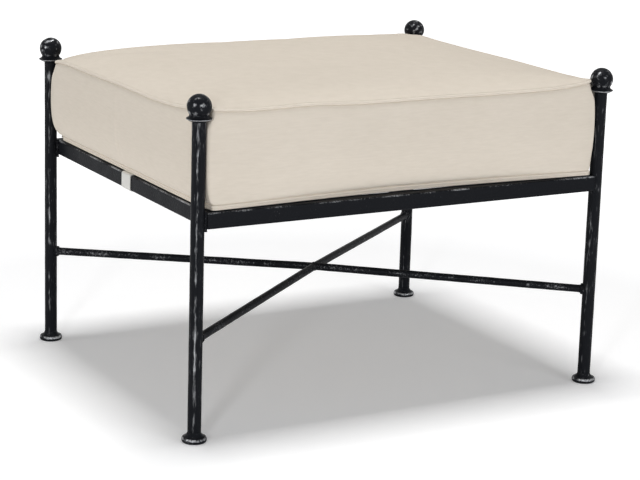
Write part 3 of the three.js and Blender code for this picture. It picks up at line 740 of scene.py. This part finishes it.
# How far each notch opens towards the bottom seam, and the length over which it is eased into the
# sides.
notch_eases = (0.0073, 0.0032, 0.0073, 0.0073)
notch_softness = 0.003

# The zip opening in the back of the boxing, as shares of the boxing's height and of the back's
# length.
zip_low = 0.5732
zip_high = 0.6778
zip_reach = 0.7308


def clamped(value):
    """The value, kept between 0 and 1."""
    return min(1.0, max(0.0, value))


def cushion_plan(rise):
    """The plan's sizes and bows at a share of the way from the bottom seam to the top one."""
    belly = math.sin(math.pi * clamped(rise)) ** 0.7
    tuck = (1 - rise) ** 12
    bow = max(rise, 0.0) ** 0.35
    under_collar = clamped((rise - 0.8) / 0.13)
    return {
        "spread": under_collar ** 2 * (3 - 2 * under_collar),
        "ease": (1 - rise) ** 10,
        "hollow": 0.011 * (1 - clamped(rise)) ** 8,
        "across": leg_across + 0.005 * belly - 0.013 * tuck,
        "deep": leg_deep + 0.002 + 0.005 * belly + 0.005 * tuck,
        "bow_across": 0.006 * bow,
        "bow_deep": -0.002 + 0.008 * bow,
    }


def notch_ends(along, out, leg_along, leg_out, radius):
    """Half a side's length between its notches, and the angles where the notch starts and ends."""
    end_back = math.sqrt(radius ** 2 - (out - leg_out) ** 2)
    other_back = math.sqrt(radius ** 2 - (along - leg_along) ** 2)
    first = math.atan2(leg_out - out, end_back)
    last = math.atan2(other_back, leg_along - along)
    return leg_along - end_back, first, last


def on_side(distance, along, out, leg_along, leg_out, radius, bow, hollow):
    """A point at a distance along one side from its middle, round into the notches at its ends.

    Its third number goes from 0 in the middle to 1 at the notch and 2 in the notch's middle.
    """
    half, first, last = notch_ends(along, out, leg_along, leg_out, radius)
    beyond = abs(distance) - half
    if beyond <= 0:
        s = distance / half
        y = -out - bow * (1 - abs(s) ** 6) + hollow * (1 - s * s) ** 2
        return Vector((distance, y, abs(s) ** 8))
    angle = first + beyond / radius
    x = math.copysign(leg_along - radius * math.cos(angle), distance)
    y = -leg_out + radius * math.sin(angle)
    return Vector((x, y, 1.0 + 2 * beyond / radius / (last - first)))


def plan_point(side, t, rise, inset):
    """The plan point on a side, at t from -1 to 1, and the lift of the top seam there.

    The sides are 0 front, 1 right, 2 back and 3 left.
    """
    plan = cushion_plan(rise)
    across = plan["across"] - inset
    deep = plan["deep"] - inset
    end = 0 if t < 0 else 1
    near_leg = leg_notches[(side + end) % 4]
    ease = notch_eases[(side + end) % 4] * plan["ease"]
    radius = near_leg + (seam_notch - near_leg) * plan["spread"] + ease + inset
    if side % 2:
        shape = (deep, across, leg_deep, leg_across, radius)
        bows = (plan["bow_across"], 0.0)
    else:
        shape = (across, deep, leg_across, leg_deep, radius)
        bows = (plan["bow_deep"], plan["hollow"])
    half, first, last = notch_ends(*shape)
    distance = t * (half + radius * (last - first) / 2)
    if abs(abs(distance) - half) < 2 * notch_softness:
        found = Vector((0.0, 0.0, 0.0))
        for step in (-1.0, -0.5, 0.0, 0.5, 1.0):
            found += on_side(distance + step * notch_softness, *shape, *bows) / 5
    else:
        found = on_side(distance, *shape, *bows)
    place = Matrix.Rotation(side * math.pi / 2, 2) @ found.to_2d()
    own = corner_lifts[side][end]
    next_side = corner_lifts[(side + 2 * end - 1) % 4][1 - end]
    if found.z > 1:
        return place.x, place.y, own + (next_side - own) * (found.z - 1) / 2
    middle = 0.0
    if side == 0:
        middle = front_lift + full_lift * bell(distance - full_place, full_reach)
    return place.x, place.y, middle + (own - middle) * found.z


def above_base(place):
    """0 on the flat base, rising to 1 a little way up."""
    return clamped((place.z - cushion_base) / 0.02)


def from_leg(place):
    """The distance to the axis of the nearest leg."""
    return min((Vector(corner) - place.to_2d()).length for corner in corners.values())


def handmade(place, reach):
    """The wander of sewn cloth: folds that fan out from the notches, and joins in the boxing."""
    drift = noise.noise_vector(place * 9.0 + Vector((4.0, 1.0, 7.0))) * 0.0011 * reach
    fold = noise.noise(Vector((place.x * 42.0, place.y * 42.0, place.z * 9.0)))
    drift += place.normalized() * fold * 0.0014 * math.exp(-from_leg(place) / 0.05) * reach
    below_top_welt = place.z < 0.428
    if place.x < -0.29 and below_top_welt:
        join = place.y + 0.017 - 0.05 * (0.37 - place.z) ** 2 / 0.06
        drift.x += (0.0011 * bell(join, 0.0034) - 0.0008 * bell(join - 0.008, 0.005)) * reach
    if place.y < -0.24 and below_top_welt:
        drift.y -= 0.0006 * bell(place.x + 0.025, 0.006) * reach
    return drift


def boxing_place(side, t, rise, inset, lift):
    """A point of the boxing at a share of its height."""
    x, y, corner = plan_point(side, t, rise, inset)
    return Vector((x, y, bottom_seam + (top_seam + corner - bottom_seam) * rise + lift))


def crown_place(side, t, share, u, v):
    """A point of the top panel at a share of the way from its middle to its seam."""
    x, y, corner = plan_point(side, t, 1.0, 0.0)
    radius = math.hypot(x, y)
    across = abs(x / radius / leg_across) ** 12
    deep = abs(y / radius / (leg_deep + 0.002)) ** 12
    plain = (across + deep) ** (-1 / 12)
    blended = plain + (radius - plain) * share ** 6
    scale = share * blended / radius
    crown = crown_rise * (1 - abs(u) ** 4) * (1 - abs(v) ** 9)
    return Vector((x * scale, y * scale, top_seam + corner * share ** 4 + groove + crown))


cover = bmesh.new()
bmesh.ops.create_grid(cover, x_segments=104, y_segments=84, size=1.0)
side_mark = cover.verts.layers.int.new("side")
along_mark = cover.verts.layers.float.new("along")
seam_mark = cover.verts.layers.float.new("seam")
slack_mark = cover.verts.layers.float.new("slack")
for point in cover.verts:
    u, v = point.co.x, point.co.y
    share = max(abs(u), abs(v))
    point[slack_mark] = (1 - share) * leg_deep
    if share < 1e-6:
        point.co = (0.0, 0.0, top_seam + groove + crown_rise)
        continue
    if abs(v) >= abs(u):
        point[side_mark] = 0 if v < 0 else 2
        t = u / share if v < 0 else -u / share
    else:
        point[side_mark] = 1 if u > 0 else 3
        t = v / share if u > 0 else -v / share
    point[along_mark] = t
    point[seam_mark] = max(0.0, share * 12 - 11)
    point.co = crown_place(point[side_mark], t, share, u, v)

rim = [edge for edge in cover.edges if edge.is_boundary]


def next_ring(edges, level, seam):
    """Extrudes the open edge of the cover and lays the new ring at a level of the boxing."""
    rise, inset, lift = level
    points, made_edges = extruded(cover, edges)
    for point in points:
        point.co = boxing_place(point[side_mark], point[along_mark], rise, inset, lift)
        point[seam_mark] = seam
        point[slack_mark] = min(rise, 1 - rise) * (top_seam - bottom_seam)
    return made_edges


# Each seam's hollow for its welt, as how far in from the boxing and how far up from the seam.
top_channel = (
    (0.0009, 0.0022), (0.0021, 0.0013), (0.0027, 0.0), (0.0022, -0.0013), (0.001, -0.0022),
)
bottom_channel = (
    (0.0009, 0.0022), (0.0023, 0.0013), (0.0022, 0.0), (0.0008, -0.0013), (-0.0004, -0.0022),
)
for inset, lift in top_channel:
    rim = next_ring(rim, (1.0, inset, lift), 1.0)
rim = next_ring(rim, (1.0, 0.0, -groove), 1.0)
above_zip = between(0.955, zip_high, 6)
over_zip = between(zip_high, zip_low, 2)[1:]
under_zip = between(zip_low, 0.045, 11)[1:]
for share in above_zip + over_zip + under_zip:
    rim = next_ring(rim, (share, 0.0, 0.0), max(0.0, abs(share - 0.5) * 12 - 5))
rim = next_ring(rim, (0.0, 0.0, groove), 1.0)
for inset, lift in bottom_channel:
    rim = next_ring(rim, (0.0, inset, lift), 1.0)
for angle in between(0.0, math.pi / 2, 7):
    tucked = 0.0064 * (1 - math.cos(angle)) - 0.0004 - 0.0012 * math.sin(2 * angle)
    below = groove + (bottom_seam - groove - cushion_base) * math.sin(angle)
    rim = next_ring(rim, (0.0, tucked, -below), 0.3)
for shrink in (0.92, 0.8, 0.6, 0.3):
    last_ring, rim = extruded(cover, rim)
    for point in last_ring:
        x, y = plan_point(point[side_mark], point[along_mark], 0.0, 0.006)[:2]
        point.co = (x * shrink, y * shrink, cushion_base)
        point[seam_mark] = 0.0
bmesh.ops.pointmerge(cover, verts=last_ring, merge_co=(0.0, 0.0, cushion_base))
bmesh.ops.recalc_face_normals(cover, faces=cover.faces)

zip_slot = []
for face in cover.faces:
    middle = face.calc_center_median()
    level = (middle.z - bottom_seam) / (top_seam - bottom_seam)
    behind = all(point[side_mark] == 2 for point in face.verts)
    within = all(abs(point[along_mark]) < zip_reach + 0.001 for point in face.verts)
    if behind and within and middle.y > 0.24 and zip_low < level < zip_high:
        zip_slot.append(face)
bmesh.ops.inset_region(
    cover, faces=zip_slot, thickness=0.0006, depth=-0.0032, use_even_offset=True,
)

zip_height = bottom_seam + (zip_low + zip_high) / 2 * (top_seam - bottom_seam)
placket_half_length = 0.232
placket_half_height = 0.017
for point in cover.verts:
    placket = 0.0
    if point.co.y > 0.24:
        past_end = abs(point.co.x) - placket_half_length
        past_side = abs(point.co.z - zip_height) - placket_half_height
        placket = clamped(1 - max(past_end, past_side) / 0.006)
    point.co += handmade(point.co, above_base(point.co) * (1 - placket))
    point.co.y += 0.003 * placket
    point[seam_mark] = max(point[seam_mark], placket)


def yarns(node, coordinate, pitch):
    """A wave along a coordinate that rises and falls once for each yarn."""
    turns = node("ShaderNodeMath", coordinate, 2 * math.pi / pitch, operation="MULTIPLY")
    return node("ShaderNodeMath", turns, operation="SINE")


def canvas(name, tone, dark):
    """Plain-woven canvas, with the weave laid along whichever faces it covers."""
    material, node = plain_nodes(name)
    coordinates = node("ShaderNodeTexCoord").outputs
    place = coordinates["Object"]
    parts = node("ShaderNodeSeparateXYZ", place).outputs
    facing = node("ShaderNodeSeparateXYZ", coordinates["Normal"]).outputs

    def facing_share(axis):
        size = node("ShaderNodeMath", facing[axis], operation="ABSOLUTE")
        return node("ShaderNodeMapRange", size, 0.55, 0.75)

    def woven(first, second):
        return node("ShaderNodeMath", first, second, operation="MULTIPLY")

    def choose(share, low, high):
        return node("ShaderNodeMix", share, low, high, data_type="FLOAT")

    x, y, z = (yarns(node, parts[axis], 0.0011) for axis in "XYZ")
    upright = choose(facing_share("X"), woven(x, z), woven(y, z))
    weave = choose(facing_share("Z"), upright, woven(x, y))
    stretched = node("ShaderNodeMapping", place, Scale=(1.0, 1.0, 7.0))
    slub = node("ShaderNodeTexNoise", stretched, Scale=60.0, Detail=4.0)
    cloud = node("ShaderNodeTexNoise", place, Scale=7.0, Detail=3.0)
    mottled = node("ShaderNodeMath", weave, 0.16, slub, operation="MULTIPLY_ADD")
    shade = node("ShaderNodeMath", cloud, 0.5, mottled, operation="MULTIPLY_ADD")
    level = node("ShaderNodeMapRange", shade, 0.35, 1.15)
    colour = node("ShaderNodeMix", level, dark, tone, data_type="RGBA")
    seam = node("ShaderNodeAttribute", attribute_name="seam").outputs["Fac"]
    pucker = node("ShaderNodeTexNoise", place, Scale=95.0, Detail=2.0)
    gathered = node("ShaderNodeMath", pucker, seam, operation="MULTIPLY")
    soft = node("ShaderNodeBump", Height=gathered, Strength=0.5, Distance=0.0012)
    fine = node("ShaderNodeBump", Height=weave, Strength=0.35, Distance=0.00018, Normal=soft)
    shader = node(
        "ShaderNodeBsdfPrincipled", Base_Color=colour, Roughness=0.92, Specular_IOR_Level=0.18,
        Sheen_Weight=0.12, Sheen_Roughness=0.5, Normal=fine,
    )
    node("ShaderNodeOutputMaterial", shader)
    return material


natural_canvas = canvas("natural_canvas", (0.75, 0.674, 0.574, 1.0), (0.682, 0.608, 0.51, 1.0))
cushion = set_piece(
    cover, "cushion_cover", natural_canvas, "cushion",
    [
        "cushion_top_panel", "cushion_bottom_panel", "boxing_front", "boxing_right", "boxing_back",
        "boxing_left", "foam_core",
    ],
)


def swollen(piece):
    """Lets pressure swell the sewn cover between its seams, as a full filling does."""
    start = [point.co.copy() for point in piece.data.vertices]
    seams = [item.value for item in piece.data.attributes["seam"].data]
    slack = [item.value for item in piece.data.attributes["slack"].data]
    held = piece.vertex_groups.new(name="held")
    for i, place in enumerate(start):
        under = 1.0 if place.z < bottom_seam else 0.0
        held.add([i], min(1.0, max(seams[i], under)), "REPLACE")
    cloth = piece.modifiers.new("swell", "CLOTH")
    cloth.settings.quality = 5
    cloth.settings.mass = 0.4
    cloth.settings.tension_stiffness = 30
    cloth.settings.compression_stiffness = 30
    cloth.settings.shear_stiffness = 15
    cloth.settings.bending_stiffness = 6
    cloth.settings.use_pressure = True
    cloth.settings.uniform_pressure_force = 3
    cloth.settings.vertex_group_mass = "held"
    cloth.settings.shrink_min = -0.003
    cloth.settings.effector_weights.gravity = 0
    cloth.collision_settings.use_collision = False
    for moment in range(1, 21):
        bpy.context.scene.frame_set(moment)
    settled = piece.evaluated_get(bpy.context.evaluated_depsgraph_get())
    ends = [point.co.copy() for point in settled.to_mesh().vertices]
    settled.to_mesh_clear()
    piece.modifiers.remove(cloth)
    piece.vertex_groups.remove(held)
    bpy.context.scene.frame_set(1)
    moves = [last - first for first, last in zip(start, ends)]
    for smoothing in range(8):
        sums = [move.copy() for move in moves]
        counts = [1] * len(moves)
        for edge in piece.data.edges:
            one, two = edge.vertices
            sums[one] += moves[two]
            sums[two] += moves[one]
            counts[one] += 1
            counts[two] += 1
        moves = [total / count for total, count in zip(sums, counts)]
    for i, (point, move) in enumerate(zip(piece.data.vertices, moves)):
        most = max(0.0, min(puff, 0.1 * slack[i], from_leg(start[i]) - leg_clearance))
        point.co = start[i] + move * most / (most + move.length + 1e-9)


swollen(cushion)
smoother = cushion.modifiers.new("smoother", "SUBSURF")
smoother.levels = 1
smoother.render_levels = 1


# Welts
#
# A cord covered in the cushion's own canvas and sewn into both seams, all the way round and into
# the notches.

welt_radius = 0.0022
top_depth = 0.0006
bottom_depth = 0.0013


def welt(name, rise, depth, node):
    """A round cord along the seam at a share of the boxing's height, set in by a depth."""
    curve = bpy.data.curves.new(name, "CURVE")
    curve.dimensions = "3D"
    curve.bevel_depth = welt_radius
    curve.bevel_resolution = 4
    spline = curve.splines.new("POLY")
    places = []
    for side, steps in ((0, 150), (1, 120), (2, 150), (3, 120)):
        for t in between(-1.0, 1.0, steps)[:-1]:
            place = boxing_place(side, t, rise, depth, 0.0)
            places.append(place + handmade(place, above_base(place)))
    spline.points.add(len(places) - 1)
    for point, place in zip(spline.points, places):
        point.co = (*place, 1.0)
    spline.use_cyclic_u = True
    source = bpy.data.objects.new(name + "_line", curve)
    bpy.context.scene.collection.objects.link(source)
    data = bpy.data.meshes.new_from_object(source)
    bpy.data.objects.remove(source)
    mesh = bmesh.new()
    mesh.from_mesh(data)
    bpy.data.meshes.remove(data)
    bmesh.ops.remove_doubles(mesh, verts=mesh.verts, dist=1e-6)
    bmesh.ops.recalc_face_normals(mesh, faces=mesh.faces)
    set_piece(mesh, name, natural_canvas, "cushion", [node])


welt("top_welt", 1.0, top_depth, "welt_top")
welt("bottom_welt", 0.0, bottom_depth, "welt_bottom")


# Straps
#
# Off-white woven webbing, sewn into the bottom seam and wrapped round each end rail, with its tail
# fastened back under the cushion.

strap_thickness = 0.0012
strap_front = -0.019
strap_back = 0.009
strap_seam = 0.2945
strap_gap = 0.0009
strap_tail = 0.034


def strap_path():
    """The middle line of the strap, as (distance out from the rail's middle, height from it)."""
    near = rail_size / 2 + strap_gap
    bend = 0.0034
    turn = near - bend
    path = [(strap_seam - end_reach + rail_size / 2, near)]
    for centre, start in (((turn, turn), 90), ((turn, -turn), 0), ((-turn, -turn), -90)):
        for angle in between(math.radians(start), math.radians(start - 90), 6):
            path.append((centre[0] + bend * math.cos(angle), centre[1] + bend * math.sin(angle)))
    level = rail_size / 2 - strap_thickness / 2
    small = 0.0016
    for angle in between(0.0, math.pi / 2, 5):
        out = -near - small + small * math.cos(angle)
        path.append((out, level - small + small * math.sin(angle)))
    path.append((-near - strap_tail, level))
    return path


def webbing(name, low, high):
    """Flat webbing, with fine ribs both ways."""
    material, node = plain_nodes(name)
    parts = node("ShaderNodeSeparateXYZ", node("ShaderNodeTexCoord").outputs["Object"]).outputs
    ribs = yarns(node, parts["Y"], 0.0016)
    rows = yarns(node, parts["Z"], 0.0011)
    cross = node("ShaderNodeMath", rows, 0.5, ribs, operation="MULTIPLY_ADD")
    level = node("ShaderNodeMapRange", cross, -1.5, 1.5)
    colour = node("ShaderNodeMix", level, low, high, data_type="RGBA")
    bump = node("ShaderNodeBump", Height=cross, Strength=0.5, Distance=0.0003)
    shader = node(
        "ShaderNodeBsdfPrincipled", Base_Color=colour, Roughness=0.8, Specular_IOR_Level=0.25,
        Normal=bump,
    )
    node("ShaderNodeOutputMaterial", shader)
    return material


strap_finish = webbing("webbing", (0.72, 0.705, 0.66, 1.0), (0.84, 0.825, 0.785, 1.0))
rail_middle = end_reach - rail_size / 2
rail_height = rail_bottom + rail_size / 2
for side, name, node in ((-1, "left_strap", "strap_left"), (1, "right_strap", "strap_right")):
    strap = bmesh.new()
    path = [Vector((side * (rail_middle + out), 0.0, rail_height + up)) for out, up in strap_path()]
    widths = between(strap_front, strap_back, 8)
    first = [strap.verts.new(path[0] + Vector((0.0, y, 0.0))) for y in widths]
    edges = [strap.edges.new(pair) for pair in zip(first, first[1:])]
    for before, after in zip(path, path[1:]):
        points, edges = extruded(strap, edges)
        bmesh.ops.translate(strap, verts=points, vec=after - before)
    bmesh.ops.recalc_face_normals(strap, faces=strap.faces)
    bmesh.ops.solidify(strap, geom=strap.faces[:], thickness=strap_thickness)
    piece = set_piece(strap, name, strap_finish, "cushion", [node])
    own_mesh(piece)


# Zip
#
# A zip along the back of the boxing, so that the foam can come out: woven tape, a coil of teeth,
# and a metal slider with its pull. Two rows of stitches hold it in the boxing.

zip_face = 0.2611
zip_half_length = 0.22
tape_half_width = 0.012
tape_thickness = 0.001
tooth_size = (0.0017, 0.0013, 0.0042)
tooth_pitch = 0.0026
tooth_reach = zip_half_length - 0.008
stitch_size = (0.0024, 0.0006, 0.0006)
stitch_pitch = 0.0034
stitch_reach = 0.226
stitch_rows = (-0.0098, 0.0098)

zip_cloth = webbing("zip_cloth", (0.5, 0.45, 0.38, 1.0), (0.66, 0.61, 0.52, 1.0))
zip_strip = bmesh.new()
bmesh.ops.create_cube(zip_strip, size=1.0)
tape_size = (2 * zip_half_length, tape_thickness, 2 * tape_half_width)
bmesh.ops.scale(zip_strip, verts=zip_strip.verts, vec=tape_size)
tape_place = (0.0, zip_face - tape_thickness / 2, zip_height)
bmesh.ops.translate(zip_strip, verts=zip_strip.verts, vec=tape_place)
rounded(zip_strip, zip_strip.edges[:], 0.0003, 2)


def small_bar(mesh, centre, size, turn):
    """A small rounded bar, its long side turned about the y axis."""
    made = bmesh.ops.create_cube(mesh, size=1.0)["verts"]
    bmesh.ops.scale(mesh, verts=made, vec=size)
    edges = list(dict.fromkeys(edge for point in made for edge in point.link_edges))
    faces = rounded(mesh, edges, min(size) * 0.3, 1)["faces"]
    points = list(dict.fromkeys(point for face in faces for point in face.verts))
    matrix = Matrix.Translation(centre) @ Matrix.Rotation(turn, 4, "Y")
    bmesh.ops.transform(mesh, matrix=matrix, verts=points)


for i in range(round(2 * tooth_reach / tooth_pitch) + 1):
    side = 1 if i % 2 else -1
    x = -tooth_reach + i * tooth_pitch
    place = (x, zip_face + 0.0005, zip_height + side * 0.0007)
    small_bar(zip_strip, place, tooth_size, 0.22 * side)
bmesh.ops.recalc_face_normals(zip_strip, faces=zip_strip.faces)
set_piece(zip_strip, "zip_strip", zip_cloth, "cushion", ["zip_tape"])

back_faces = [face.vertices[:] for face in cushion.data.polygons if face.center.y > 0.25]
cover_points = [point.co for point in cushion.data.vertices]
cover_surface = BVHTree.FromPolygons(cover_points, back_faces)
thread = bmesh.new()
for row in stitch_rows:
    for i in range(round(2 * stitch_reach / stitch_pitch)):
        start = Vector((-stitch_reach + i * stitch_pitch, 0.3, zip_height + row))
        hit = cover_surface.ray_cast(start, Vector((0.0, -1.0, 0.0)))[0]
        small_bar(thread, hit + Vector((0.0, 0.0001, 0.0)), stitch_size, 0.0)
bmesh.ops.recalc_face_normals(thread, faces=thread.faces)
set_piece(thread, "zip_stitches", strap_finish, "cushion", [])

slider_metal, slider_node = plain_nodes("slider_metal")
slider_place = slider_node("ShaderNodeTexCoord").outputs["Object"]
slider_grain = slider_node("ShaderNodeTexNoise", slider_place, Scale=700.0)
slider_gloss = slider_node("ShaderNodeMapRange", slider_grain, To_Min=0.28, To_Max=0.5)
slider_shader = slider_node(
    "ShaderNodeBsdfPrincipled", Base_Color=(0.5, 0.48, 0.44, 1.0), Metallic=1.0,
    Roughness=slider_gloss,
)
slider_node("ShaderNodeOutputMaterial", slider_shader)
for node in ("zip_slider", "zip_pull"):
    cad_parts[node].data.materials.clear()
    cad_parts[node].data.materials.append(slider_metal)
